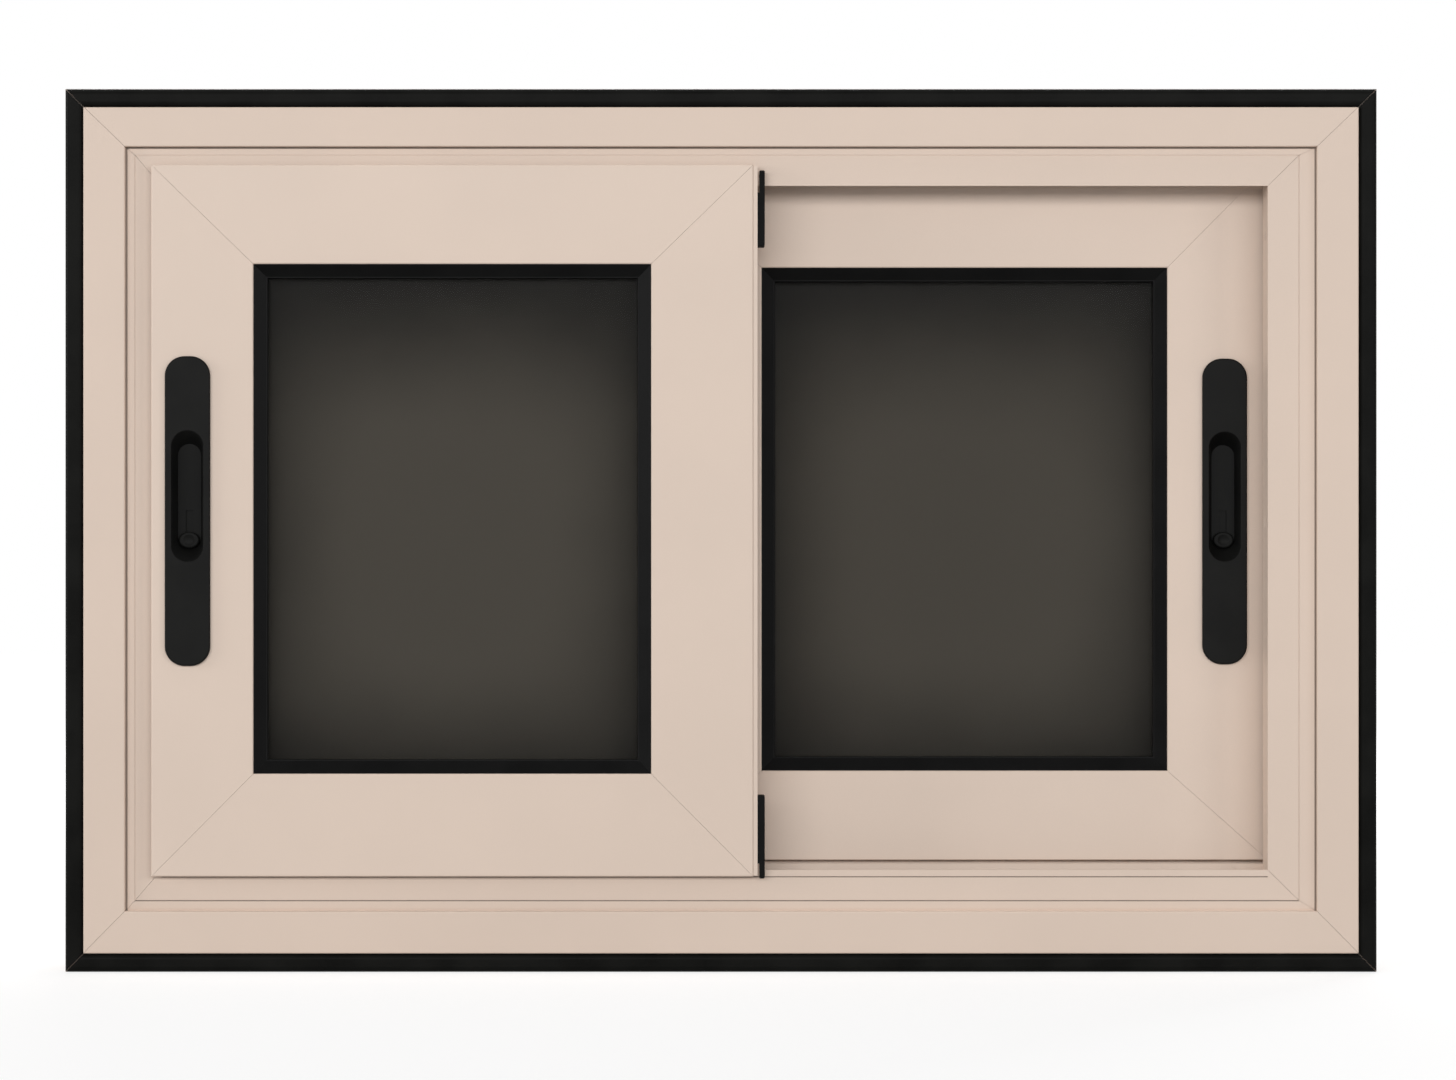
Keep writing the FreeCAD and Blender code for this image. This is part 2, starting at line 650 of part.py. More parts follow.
def build():
    frame = frame_bars()
    nodes = head_parts(frame["head"])
    nodes["frame_sill"] = frame["sill"]
    nodes["frame_left_jamb"] = frame["left"]
    nodes["frame_right_jamb"] = frame["right"]
    for side, trim in edge_trims().items():
        nodes["edge_trim_" + side] = trim

    channel = frame_rect(CHANNEL)
    nodes["front_track_rail"] = track_rail(
        channel[0] + RAIL_END_GAP, FRONT_LINER_X - RAIL_END_GAP, track_depth(FRONT_SASH_FACE)
    )
    nodes["rear_track_rail"] = track_rail(
        REAR_LINER_X + RAIL_END_GAP, channel[1] - RAIL_END_GAP, rear_track_depth()
    )
    nodes["right_jamb_cover"] = jamb_cover(FRONT_LINER_X, channel[1], LIP_DEPTH + WALL, FIN_DEPTH)
    nodes["left_jamb_cover"] = jamb_cover(REAR_LINER_X, channel[0], FIN_DEPTH + WALL, DEPTH - WALL)

    _, flange, core, front_opening = front_sash_rects()
    outer, rear_opening = rear_sash_rects()
    rear_face = rear_sash_face()
    bar_names = {"head": "top_rail", "sill": "bottom_rail", "left": "left_stile", "right": "right_stile"}
    sashes = {
        "front": (
            front_sash_bars(), front_opening, FRONT_SASH_FACE,
            flange[0] + FRONT_HANDLE_IN, core, track_depth(FRONT_SASH_FACE),
        ),
        "rear": (
            rear_sash_bars(), rear_opening, rear_face,
            outer[1] - REAR_HANDLE_IN, outer, rear_track_depth(),
        ),
    }
    for sash, (bars, opening, face, handle_x, ends, track) in sashes.items():
        for side, bar in bars.items():
            nodes[sash + "_" + bar_names[side]] = bar
        for name, piece in glazing(opening, face).items():
            nodes[sash + "_" + name] = piece
        nodes[sash + "_handle"] = handle(handle_x, face)
        nodes[sash + "_latch_button"] = latch_button(handle_x, face)
        nodes[sash + "_rollers"] = roller_carriages(ends[0], ends[1], track)

    nodes["front_meeting_strip"] = meeting_strip()
    upper_top = flange[3] - UPPER_BUFFER_DROP
    lower_bottom = flange[2] - LOWER_BUFFER_DROP
    nodes["front_upper_buffer"] = buffer(upper_top - UPPER_BUFFER_HEIGHT, upper_top)
    nodes["front_lower_buffer"] = buffer(lower_bottom, lower_bottom + LOWER_BUFFER_HEIGHT)
    nodes["rear_meeting_seal"] = meeting_seal()
    return nodes


os.makedirs("parts", exist_ok=True)
for node_name, node_shape in build().items():
    print(node_name, len(node_shape.Solids), round(node_shape.Volume / 1000.0, 2), node_shape.isValid())
    node_shape.exportStep("parts/" + node_name + ".step")
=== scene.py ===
"""Finishes the sliding window: paint, plastics, glass and steel on the solids, then gaskets,
brush pile, screws and drain covers, and a plain studio round it."""

import json
import math

import bmesh
import bpy
from bpy.props import FloatProperty, FloatVectorProperty, IntProperty, PointerProperty
from bpy.types import Operator, Panel, PropertyGroup
from mathutils import Matrix, Vector


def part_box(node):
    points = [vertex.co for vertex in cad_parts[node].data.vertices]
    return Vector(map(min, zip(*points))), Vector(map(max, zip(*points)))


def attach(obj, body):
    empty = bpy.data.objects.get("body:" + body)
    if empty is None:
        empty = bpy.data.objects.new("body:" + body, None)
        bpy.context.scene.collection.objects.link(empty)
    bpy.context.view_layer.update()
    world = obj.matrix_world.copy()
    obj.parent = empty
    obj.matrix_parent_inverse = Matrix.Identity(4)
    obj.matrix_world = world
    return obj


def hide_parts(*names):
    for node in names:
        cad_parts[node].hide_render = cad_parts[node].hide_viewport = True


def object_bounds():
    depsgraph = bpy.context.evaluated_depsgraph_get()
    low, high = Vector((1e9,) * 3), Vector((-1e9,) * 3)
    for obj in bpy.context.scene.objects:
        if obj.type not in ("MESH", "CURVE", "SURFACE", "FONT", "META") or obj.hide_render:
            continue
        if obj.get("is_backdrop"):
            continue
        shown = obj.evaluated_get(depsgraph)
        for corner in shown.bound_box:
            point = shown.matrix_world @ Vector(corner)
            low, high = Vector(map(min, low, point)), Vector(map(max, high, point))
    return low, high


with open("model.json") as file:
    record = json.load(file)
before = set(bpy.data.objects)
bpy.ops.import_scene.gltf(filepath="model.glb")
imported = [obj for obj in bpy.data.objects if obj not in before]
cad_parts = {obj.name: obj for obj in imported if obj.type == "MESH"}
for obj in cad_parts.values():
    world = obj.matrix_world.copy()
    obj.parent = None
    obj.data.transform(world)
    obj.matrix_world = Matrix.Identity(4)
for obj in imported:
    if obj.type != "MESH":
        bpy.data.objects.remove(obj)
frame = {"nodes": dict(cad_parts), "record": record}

bl_info = {
    "name": "Sliding Window",
    "version": (1, 0, 0),
    "blender": (4, 5, 0),
    "location": "3D View > Sidebar > Window",
    "description": "Finishes, seals, fixings and studio of a sliding window with two sashes",
    "category": "Object",
}

SASHES = ("front", "rear")
WHITE = (1.0, 1.0, 1.0, 1.0)
BLACK = (0.0, 0.0, 0.0, 1.0)
SPACER_COLOUR = (0.35, 0.35, 0.35)
# Each lamp's place, then its width and height.
LAMPS = {
    "front": ((-0.9, -8.0, 2.1), (13.0, 2.0)),
    "back": ((0.6, 3.4, 2.1), (3.5, 1.2)),
    "top": ((0.0, -0.35, 3.6), (3.0, 1.2)),
    "left": ((-4.6, -1.0, 1.0), (1.6, 1.4)),
    "right": ((4.4, -3.6, 1.2), (1.6, 1.4)),
}
CLIP_START = 0.05
CLIP_END = 60.0
# Distances from the middle of the floor between which its glow rises to full.
GLOW_REACH = (0.7, 2.0)
# The frame's deep face lines, which get painted shade, lie out past these distances and between these
# depths.
LINE_ZONE = {"side": 0.4, "head": 0.56, "sill": 0.0665}
LINE_DEPTHS = (-0.0345, -0.0336)
# A pane's painted shade is lightest at this share of its height. It darkens between two shares of the
# way to the edge, less towards the sides than towards the top and foot.
PANE_SHADE_CENTRE = 0.45
PANE_SHADE_FALL = (0.42, 1.14)
PANE_SHADE_SIDE_FALL = 0.86
PANE_SHADE_SQUARENESS = 4.0
PANE_SHADE_UNEVENNESS = 0.14
# The powder coat's mottle is mostly soft clouds, and the rest of it fine specks.
CLOUD_SHARE = 0.75
BRUSH_STRETCH = 60.0
SLOT_OF = {part["node"]: part["material_slot"] for part in frame["record"]["subparts"]}


def nodes_in(*slots):
    return [name for name, slot in SLOT_OF.items() if slot in slots]


# Finishes


def linear(colour):
    """A display colour as the linear colour that shaders use, with full alpha."""
    steps = [c / 12.92 if c <= 0.04045 else ((c + 0.055) / 1.055) ** 2.4 for c in colour]
    return (*steps, 1.0)


class Value:
    """A node's number that takes Python's signs: each sign adds the Math node for it."""

    def __init__(self, finish, socket):
        self.finish = finish
        self.socket = socket

    def __add__(self, other):
        return self.finish.math("ADD", self, other)

    def __radd__(self, other):
        return self.finish.math("ADD", other, self)

    def __sub__(self, other):
        return self.finish.math("SUBTRACT", self, other)

    def __rsub__(self, other):
        return self.finish.math("SUBTRACT", other, self)

    def __mul__(self, other):
        return self.finish.math("MULTIPLY", self, other)

    def __rmul__(self, other):
        return self.finish.math("MULTIPLY", other, self)

    def __truediv__(self, other):
        return self.finish.math("DIVIDE", self, other)

    def __pow__(self, other):
        return self.finish.math("POWER", self, other)

    def __lt__(self, other):
        return self.finish.math("LESS_THAN", self, other)

    def __gt__(self, other):
        return self.finish.math("GREATER_THAN", self, other)

    def __abs__(self):
        return self.finish.math("ABSOLUTE", self)


class Finish:
    """A material round one Principled shader, with its patterns on Object coordinates."""

    def __init__(self, name, roughness, **constants):
        self.material = bpy.data.materials.new(name)
        self.material.use_nodes = True
        self.tree = self.material.node_tree
        self.shader = self.tree.nodes["Principled BSDF"]
        self.shader.inputs["Roughness"].default_value = roughness
        for socket, value in constants.items():
            self.shader.inputs[socket.replace("_", " ")].default_value = value
        self.place = self.node("ShaderNodeTexCoord", output="Object")

    def node(self, kind, settings=None, inputs=None, output=0):
        """Adds a node. The settings come first, then a value or a link for each socket."""
        made = self.tree.nodes.new(kind)
        for name, value in (settings or {}).items():
            setattr(made, name, value)
        for socket, value in (inputs or {}).items():
            self.feed(made.inputs[socket], value)
        return Value(self, made.outputs[output])

    def feed(self, socket, value):
        if isinstance(value, Value):
            self.tree.links.new(value.socket, socket)
        else:
            socket.default_value = value

    def set(self, **channels):
        """Feeds the shader's own sockets: Base_Color for Base Color, and so on."""
        for name, value in channels.items():
            self.feed(self.shader.inputs[name.replace("_", " ")], value)

    def math(self, operation, first, second=0.0):
        return self.node("ShaderNodeMath", {"operation": operation}, {0: first, 1: second})

    def axes(self):
        split = self.node("ShaderNodeSeparateXYZ", inputs={0: self.place})
        outputs = split.socket.node.outputs
        return [Value(self, output) for output in outputs]

    def noise(self, scale, detail=2.0, stretch=(1.0, 1.0, 1.0)):
        """Even noise from 0 to 1, with its features so many to the metre and stretched by axis."""
        squeeze = tuple(1.0 / share for share in stretch)
        place = self.node("ShaderNodeMapping", inputs={"Vector": self.place, "Scale": squeeze})
        inputs = {"Vector": place, "Scale": scale, "Detail": detail}
        return self.node("ShaderNodeTexNoise", inputs=inputs)

    def mix(self, share, first, second):
        """A colour between two, by a share from 0 to 1."""
        settings = {"data_type": "RGBA", "clamp_factor": True}
        return self.node("ShaderNodeMix", settings, {0: share, 6: first, 7: second}, output=2)

    def ramp(self, value, low, high):
        """0 below low, 1 above high and smooth between."""
        inputs = {"Value": value, "From Min": low, "From Max": high}
        return self.node("ShaderNodeMapRange", {"interpolation_type": "SMOOTHSTEP"}, inputs)

    def bump(self, height, distance, strength=1.0):
        """Relief whose height is in metres of surface."""
        inputs = {"Height": height, "Distance": distance, "Strength": strength}
        self.feed(self.shader.inputs["Normal"], self.node("ShaderNodeBump", inputs=inputs))


def shade(colour, factor):
    """A linear colour made lighter or darker."""
    return (*(min(1.0, c * factor) for c in colour[:3]), 1.0)


def uneven(middle, pattern, spread):
    """A value that varies round its middle with a pattern from 0 to 1."""
    return middle + (pattern - 0.5) * spread


def painted_line_shade_mask(finish):
    """1 in the frame's deep face lines, where the coat gets painted shade; they lie out past the lips
    and below the lips' face.
    """
    x, y, z = finish.axes()
    past_side = abs(x) > LINE_ZONE["side"]
    past_head = z > LINE_ZONE["head"]
    past_sill = z < LINE_ZONE["sill"]
    below_face = (y > LINE_DEPTHS[0]) * (y < LINE_DEPTHS[1])
    return (past_side + past_head + past_sill) * below_face


def powder_coat(name, colour, roughness, line_shade=None):
    """Satin powder coat with a fine orange peel and a faint cloudiness, with painted shade in deep
    lines.
    """
    finish = Finish(name, roughness, Specular_IOR_Level=0.35)
    base = linear(colour)
    cloud = finish.noise(scale=9.0, detail=3.0)
    speck = finish.noise(scale=1400.0, detail=1.0)
    blend = cloud * CLOUD_SHARE + speck * (1.0 - CLOUD_SHARE)
    mottle = finish.ramp(blend, low=0.3, high=0.7)
    coat = finish.mix(mottle, shade(base, factor=0.975), shade(base, factor=1.02))
    # Painted shade: the coat is darker by the line shade factor in the frame's deep face lines.
    if line_shade is not None:
        coat = finish.mix(painted_line_shade_mask(finish), coat, shade(base, factor=line_shade))
    finish.set(Base_Color=coat, Roughness=uneven(roughness, cloud, spread=0.12))
    finish.bump(finish.noise(scale=620.0, detail=2.0), distance=0.00006, strength=0.5)
    return finish.material


def satin(name, colour, roughness, grain, specular):
    """Plastic, rubber or anodised metal with a fine grain and slightly uneven gloss."""
    finish = Finish(name, roughness, Specular_IOR_Level=specular)
    base = linear(colour)
    smudge = finish.noise(scale=28.0, detail=4.0)
    fine = finish.noise(scale=grain, detail=1.0)
    smear = finish.ramp(smudge, low=0.3, high=0.7)
    finish.set(
        Base_Color=finish.mix(smear, shade(base, factor=0.8), shade(base, factor=1.25)),
        Roughness=uneven(roughness, smudge, spread=0.2),
    )
    finish.bump(fine, distance=0.00005, strength=0.4)
    return finish.material


def brushed_steel(name, colour, roughness, along):
    """Metal with fine brush lines along one axis."""
    finish = Finish(name, roughness, Metallic=1.0)
    base = linear(colour)
    stretch = tuple(BRUSH_STRETCH if axis == along else 1.0 for axis in "xyz")
    lines = finish.noise(scale=2600.0, detail=2.0, stretch=stretch)
    finish.set(
        Base_Color=finish.mix(lines, shade(base, factor=0.8), shade(base, factor=1.1)),
        Roughness=uneven(roughness, lines, spread=0.2),
    )
    finish.bump(lines, distance=0.00004, strength=0.4)
    return finish.material


def roller_metal(name, node, colour, wheel_colour, wheel_half, wheel_top):
    """Zinc-plated carriages with plastic wheels, told apart by where they stand on the track."""
    finish = Finish(name, roughness=0.42)
    low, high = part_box(node)
    _, y, z = finish.axes()
    wheel = (abs(y - (low.y + high.y) / 2.0) < wheel_half) * (z < wheel_top)
    stain = finish.noise(scale=130.0, detail=3.0)
    zinc = linear(colour)
    plated = finish.mix(stain, shade(zinc, factor=0.75), shade(zinc, factor=1.1))
    roughness = 0.36 + wheel * 0.12
    finish.set(
        Base_Color=finish.mix(wheel, plated, linear(wheel_colour)),
        Metallic=1.0 - wheel,
        Roughness=uneven(roughness, stain, spread=0.15),
    )
    return finish.material


def tinted_pane_with_painted_shade(name, node, middle, edge, alpha, specular, roughness=0.16):
    """Dark tinted glass with painted shade that lightens softly from its corners to a little under its
    middle.
    """
    finish = Finish(name, roughness, Specular_IOR_Level=specular)
    low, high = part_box(node)
    x, _, z = finish.axes()
    across = (x - (low.x + high.x) / 2.0) / ((high.x - low.x) / 2.0)
    up = (z - (low.z + (high.z - low.z) * PANE_SHADE_CENTRE)) / ((high.z - low.z) / 2.0)
    blur = (finish.noise(scale=14.0, detail=3.0) - 0.5) * PANE_SHADE_UNEVENNESS
    square = abs(across * PANE_SHADE_SIDE_FALL) ** PANE_SHADE_SQUARENESS + abs(up) ** PANE_SHADE_SQUARENESS
    away = square ** (1.0 / PANE_SHADE_SQUARENESS) + blur
    # Painted shade: the colour runs from the middle colour to the darker edge colour towards the pane's
    # edges.
    finish.set(
        Base_Color=finish.mix(finish.ramp(away, *PANE_SHADE_FALL), linear(middle), linear(edge)),
        Roughness=uneven(roughness, finish.noise(scale=60.0, detail=2.0), spread=0.08),
        Alpha=alpha,
    )
    return finish.material


def pile_fibre(name, colour):
    """Matt fibre whose tufts differ a little in tone."""
    finish = Finish(
        name, roughness=0.9, Specular_IOR_Level=0.1, Sheen_Weight=0.25, Sheen_Roughness=0.5
    )
    base = linear(colour)
    tone = finish.noise(scale=900.0, detail=1.0)
    finish.set(Base_Color=finish.mix(tone, shade(base, factor=0.6), shade(base, factor=1.5)))
    return finish.material


def paint(node, material):
    """Puts a material on a CAD node without touching its mesh."""
    piece = frame["nodes"][node]
    if not piece.material_slots:
        piece.data.materials.append(material)
    for slot in piece.material_slots:
        slot.material = material


def colour_property(name, colour, description):
    return FloatVectorProperty(
        name=name, description=description, default=colour, subtype="COLOR_GAMMA",
        size=3, min=0.0, max=1.0,
    )


def share_property(name, value, description):
    return FloatProperty(
        name=name, description=description, default=value, subtype="FACTOR", min=0.0, max=1.0
    )


def length_property(name, value, description):
    return FloatProperty(
        name=name, description=description, default=value, unit="LENGTH", min=0.0, precision=4
    )


def power_property(name, watts):
    return FloatProperty(
        name=name, description="Power of this lamp in watts", default=watts, min=0.0
    )


# Meshes


# Shares of a screw head's radius, and of the cross's arm for its floor.
HEAD_TOP = 0.94
CROSS_ARM = 0.6
CROSS_HALF = 0.17
CROSS_FLOOR = 0.8
# Shares of a drain cover's depth, then of its height.
COVER_WALL = 0.45
COVER_CREST = 0.5
COVER_SHOULDER = 0.72
COVER_INNER_SHOULDER = 0.68
COVER_INNER_TOP = 0.78
COVER_CHEEK = 0.9
# A gasket's rubber reaches this far under its bead, and its face bends at these shares of its
# reach and its height.
GASKET_TUCK = 0.0006
GASKET_BENDS = ((0.3, 1.0), (0.65, 0.72), (0.92, 0.34), (1.0, 0.12), (1.0, 0.0))


def add_piece(name, mesh, material, body):
    """Links a finished mesh as a piece that rides on a body."""
    piece = bpy.data.objects.new(name, mesh)
    bpy.context.scene.collection.objects.link(piece)
    if not mesh.materials:
        mesh.materials.append(material)
    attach(piece, body)
    return piece


def mesh_from(name, work):
    """A mesh from bmesh work, with its faces turned outwards."""
    bmesh.ops.recalc_face_normals(work, faces=work.faces)
    mesh = bpy.data.meshes.new(name)
    work.to_mesh(mesh)
    work.free()
    return mesh


def joined(name, meshes):
    """Several plain meshes as one."""
    work = bmesh.new()
    for mesh in meshes:
        work.from_mesh(mesh)
    whole = bpy.data.meshes.new(name)
    work.to_mesh(whole)
    work.free()
    whole.materials.append(meshes[0].materials[0])
    return whole


def swept_ring(name, rect, glass_y, towards, profile):
    """Sweeps a profile of (inwards, off the glass) points round a rectangle with mitred corners."""
    x0, x1, z0, z1 = rect
    work = bmesh.new()
    loops = []
    for inwards, off in profile:
        y = glass_y + towards * off
        corners = [
            (x0 + inwards, y, z0 + inwards),
            (x1 - inwards, y, z0 + inwards),
            (x1 - inwards, y, z1 - inwards),
            (x0 + inwards, y, z1 - inwards),
        ]
        loops.append([work.verts.new(corner) for corner in corners])
    for index, loop in enumerate(loops):
        following = loops[(index + 1) % len(loops)]
        for corner in range(4):
            after = (corner + 1) % 4
            work.faces.new((loop[corner], loop[after], following[after], following[corner]))
    return mesh_from(name, work)


def circle_points(radius, count, z):
    turns = [2.0 * math.pi * step / count for step in range(count)]
    return [(radius * math.cos(turn), radius * math.sin(turn), z) for turn in turns]


def cross_points(arm, half, z):
    """A cross with square ends, anticlockwise."""
    corner = [(arm, -half), (arm, half), (half, half)]
    points = []
    for quarter in range(4):
        for x, y in corner:
            for _ in range(quarter):
                x, y = -y, x
            points.append((x, y, z))
    return points


def screw_head(name, radius, height, recess, sides=24):
    """A countersunk head, just proud of its seat, with a cross recess. It faces +Z."""
    work = bmesh.new()
    arm = radius * CROSS_ARM
    half = radius * CROSS_HALF
    foot = [work.verts.new(p) for p in circle_points(radius, sides, 0.0)]
    rim = [work.verts.new(p) for p in circle_points(radius * HEAD_TOP, sides, height)]
    cross = [work.verts.new(p) for p in cross_points(arm, half, height)]
    floor = [work.verts.new(p) for p in cross_points(arm * CROSS_FLOOR, half, height - recess)]
    work.faces.new(foot)
    work.faces.new(floor)
    for low, high in ((foot, rim), (floor, cross)):
        for index in range(len(low)):
            after = (index + 1) % len(low)
            work.faces.new((low[index], low[after], high[after], high[index]))
    edges = []
    for loop in (rim, cross):
        for index in range(len(loop)):
            edges.append(work.edges.get((loop[index], loop[(index + 1) % len(loop)])))
    bmesh.ops.triangle_fill(work, edges=edges, use_beauty=True)
    return mesh_from(name, work)


def drain_cover(name, width, height, proud, slot_height):
    """A hooded cover over a weep slot, open underneath. It stands on the XZ plane towards -Y."""
    half = width / 2.0
    wall = proud * COVER_WALL
    cheek_height = height * COVER_CHEEK
    section = [
        (0.0, height),
        (proud * COVER_CREST, height),
        (proud, height * COVER_SHOULDER),
        (proud, slot_height),
        (proud - wall, slot_height),
        (proud - wall, height * COVER_INNER_SHOULDER),
        (0.0, height * COVER_INNER_TOP),
    ]
    work = bmesh.new()
    ends = []
    for x in (-half, half):
        ends.append([work.verts.new((x, -y, z)) for y, z in section])
    for loop in ends:
        work.faces.new(loop)
    for index in range(len(section)):
        after = (index + 1) % len(section)
        work.faces.new((ends[0][index], ends[0][after], ends[1][after], ends[1][index]))
    for x in (-half, half - wall):
        cheek = bmesh.ops.create_cube(work, size=1.0)["verts"]
        scale = Matrix.Diagonal((wall, proud, cheek_height, 1.0))
        place = Matrix.Translation((x + wall / 2.0, -proud / 2.0, cheek_height / 2.0))
        bmesh.ops.transform(work, matrix=place @ scale, verts=cheek)
    return mesh_from(name, work)


# Geometry Nodes


# Shares for the pile: the part of a strip's width that tufts take, how deep they root in the
# backing, their half widths to the pitch, and the shortest tuft to the longest.
TUFT_SPREAD = 0.62
TUFT_ROOT = 0.8
TUFT_FOOT = 0.5
TUFT_TIP = 0.22
TUFT_SHORTEST = 0.86
TUFT_SIDES = 5


class Repeat:
    """A Geometry Nodes tree with named inputs, whose result is taken as a plain mesh."""

    def __init__(self, name, sockets):
        self.tree = bpy.data.node_groups.new(name, "GeometryNodeTree")
        self.identifiers = {}
        for socket, kind in sockets.items():
            made = self.tree.interface.new_socket(socket, in_out="INPUT", socket_type=kind)
            self.identifiers[socket] = made.identifier
        self.tree.interface.new_socket("Geometry", in_out="OUTPUT", socket_type="NodeSocketGeometry")
        self.given = self.tree.nodes.new("NodeGroupInput")

    def input(self, name):
        return self.given.outputs[name]

    def node(self, kind, settings=None, inputs=None, output=0):
        """Adds a node. A list of sources joins them all into a socket that takes several."""
        made = self.tree.nodes.new(kind)
        for name, value in (settings or {}).items():
            setattr(made, name, value)
        for socket, value in (inputs or {}).items():
            for one in value if isinstance(value, list) else [value]:
                if isinstance(one, bpy.types.NodeSocket):
                    self.tree.links.new(one, made.inputs[socket])
                else:
                    made.inputs[socket].default_value = one
        return made.outputs[output]

    def math(self, operation, first, second=0.0):
        return self.node("ShaderNodeMath", {"operation": operation}, {0: first, 1: second})

    def vector(self, x=0.0, y=0.0, z=0.0):
        return self.node("ShaderNodeCombineXYZ", inputs={0: x, 1: y, 2: z})

    def finish(self, geometry):
        """Ends the tree: real instances, then the material."""
        real = self.node("GeometryNodeRealizeInstances", inputs={0: geometry})
        inputs = {0: real, "Material": self.input("Material")}
        painted = self.node("GeometryNodeSetMaterial", inputs=inputs)
        end = self.tree.nodes.new("NodeGroupOutput")
        self.tree.links.new(painted, end.inputs[0])

    def mesh(self, name, place, **values):
        """The tree's result for these inputs, moved to its place, as a plain mesh."""
        holder = bpy.data.objects.new(name + "_holder", bpy.data.meshes.new(name + "_holder"))
        bpy.context.scene.collection.objects.link(holder)
        modifier = holder.modifiers.new(name, "NODES")
        modifier.node_group = self.tree
        for socket, value in values.items():
            modifier[self.identifiers[socket.replace("_", " ")]] = value
        graph = bpy.context.evaluated_depsgraph_get()
        mesh = bpy.data.meshes.new_from_object(holder.evaluated_get(graph), depsgraph=graph)
        holder.modifiers.remove(modifier)
        bpy.data.objects.remove(holder)
        if not mesh.polygons:
            raise RuntimeError(name + " came out empty")
        mesh.name = name
        mesh.transform(place)
        return mesh


def pile_tree():
    """A strip along +X from the origin: a backing, and rows of leaning tufts towards -Y."""
    tree = Repeat("pile strip", {
        "Length": "NodeSocketFloat",
        "Width": "NodeSocketFloat",
        "Reach": "NodeSocketFloat",
        "Backing": "NodeSocketFloat",
        "Pitch": "NodeSocketFloat",
        "Rows": "NodeSocketInt",
        "Lean": "NodeSocketFloat",
        "Seed": "NodeSocketInt",
        "Material": "NodeSocketMaterial",
    })
    length = tree.input("Length")
    width = tree.input("Width")
    backing = tree.input("Backing")
    pitch = tree.input("Pitch")
    lean = tree.input("Lean")
    seed = tree.input("Seed")
    half_length = tree.math("MULTIPLY", length, 0.5)
    grid = tree.node("GeometryNodeMeshGrid", inputs={
        "Size X": tree.math("SUBTRACT", length, pitch),
        "Size Y": tree.math("MULTIPLY", width, TUFT_SPREAD),
        "Vertices X": tree.math("DIVIDE", length, pitch),
        "Vertices Y": tree.input("Rows"),
    })
    upright = tree.node("GeometryNodeTransform", inputs={
        "Geometry": grid,
        "Translation": tree.vector(half_length, tree.math("MULTIPLY", backing, -TUFT_ROOT)),
        "Rotation": (math.pi / 2.0, 0.0, 0.0),
    })
    points = tree.node("GeometryNodeMeshToPoints", inputs={"Mesh": upright})
    tuft = tree.node("GeometryNodeMeshCone", {"fill_type": "NGON"}, {
        "Vertices": TUFT_SIDES,
        "Radius Top": tree.math("MULTIPLY", pitch, TUFT_TIP),
        "Radius Bottom": tree.math("MULTIPLY", pitch, TUFT_FOOT),
        "Depth": tree.math("SUBTRACT", tree.input("Reach"), backing),
    })
    other_way = tree.math("MULTIPLY", lean, -1.0)
    turn = tree.node("FunctionNodeRandomValue", {"data_type": "FLOAT_VECTOR"}, {
        "Min": tree.vector(tree.math("ADD", other_way, math.pi / 2.0), other_way),
        "Max": tree.vector(tree.math("ADD", lean, math.pi / 2.0), lean),
        "Seed": seed,
    })
    size = tree.node(
        "FunctionNodeRandomValue", {"data_type": "FLOAT"},
        {2: TUFT_SHORTEST, 3: 1.0, "Seed": tree.math("ADD", seed, 1.0)}, output=1,
    )
    rotation = tree.node("FunctionNodeEulerToRotation", inputs={0: turn})
    tufts = tree.node("GeometryNodeInstanceOnPoints", inputs={
        "Points": points, "Instance": tuft, "Rotation": rotation, "Scale": tree.vector(1.0, 1.0, size),
    })
    strip = tree.node("GeometryNodeMeshCube", inputs={"Size": tree.vector(length, backing, width)})
    placed = tree.node("GeometryNodeTransform", inputs={
        "Geometry": strip,
        "Translation": tree.vector(half_length, tree.math("MULTIPLY", backing, -0.5)),
    })
    tree.finish(tree.node("GeometryNodeJoinGeometry", inputs={0: [tufts, placed]}))
    return tree


def row_tree():
    """Copies of a small part in a row along +X from the origin."""
    tree = Repeat("row of parts", {
        "Part": "NodeSocketObject",
        "Count": "NodeSocketInt",
        "Spacing": "NodeSocketFloat",
        "Material": "NodeSocketMaterial",
    })
    line = tree.node("GeometryNodeMeshLine", inputs={
        "Count": tree.input("Count"), "Offset": tree.vector(tree.input("Spacing")),
    })
    points = tree.node("GeometryNodeMeshToPoints", inputs={"Mesh": line})
    inputs = {"Object": tree.input("Part")}
    part = tree.node("GeometryNodeObjectInfo", inputs=inputs, output="Geometry")
    inputs = {"Points": points, "Instance": part}
    tree.finish(tree.node("GeometryNodeInstanceOnPoints", inputs=inputs))
    return tree


def row_of(name, part_mesh, count, spacing, material, place):
    """A row of one small part, as a plain mesh."""
    part = bpy.data.objects.new(name + "_part", part_mesh)
    bpy.context.scene.collection.objects.link(part)
    mesh = row_tree().mesh(name, place, Part=part, Count=count, Spacing=spacing, Material=material)
    bpy.data.objects.remove(part)
    return mesh


# Settings


